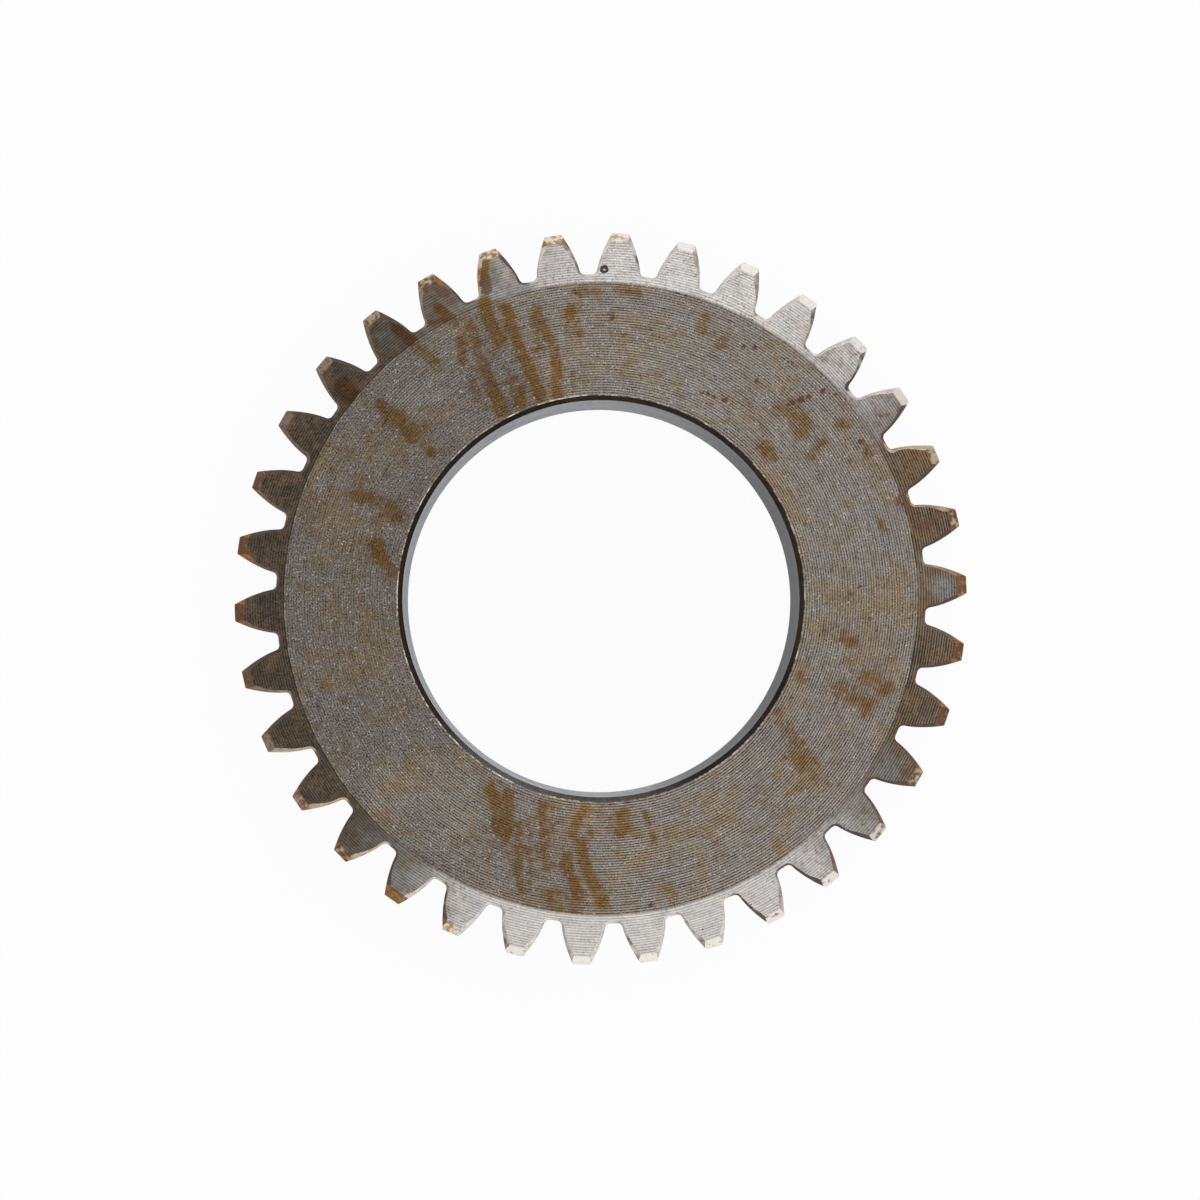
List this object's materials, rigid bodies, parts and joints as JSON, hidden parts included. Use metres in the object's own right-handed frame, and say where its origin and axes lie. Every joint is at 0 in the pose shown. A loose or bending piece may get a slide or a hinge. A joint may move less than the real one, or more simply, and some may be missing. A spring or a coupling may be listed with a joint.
{
  "type": "planet gear",
  "caption": "Spur planet gear: involute teeth, large plain bore, raised thrust faces on both sides and chamfered tooth ends, in used steel with turning marks and rust stains.",
  "frame": {"origin": "centre of the bore at the back thrust face, on which the gear lies", "axes": "+Z along the bore axis towards the front thrust face, +X through the middle of one tooth"},
  "size_m": [0.109, 0.1088, 0.028],
  "materials": {
    "gear_steel": "turned and ground, used, with rust stains"
  },
  "bodies": {
    "root": {"planet_gear": "gear_steel"}
  },
  "joints": []
}
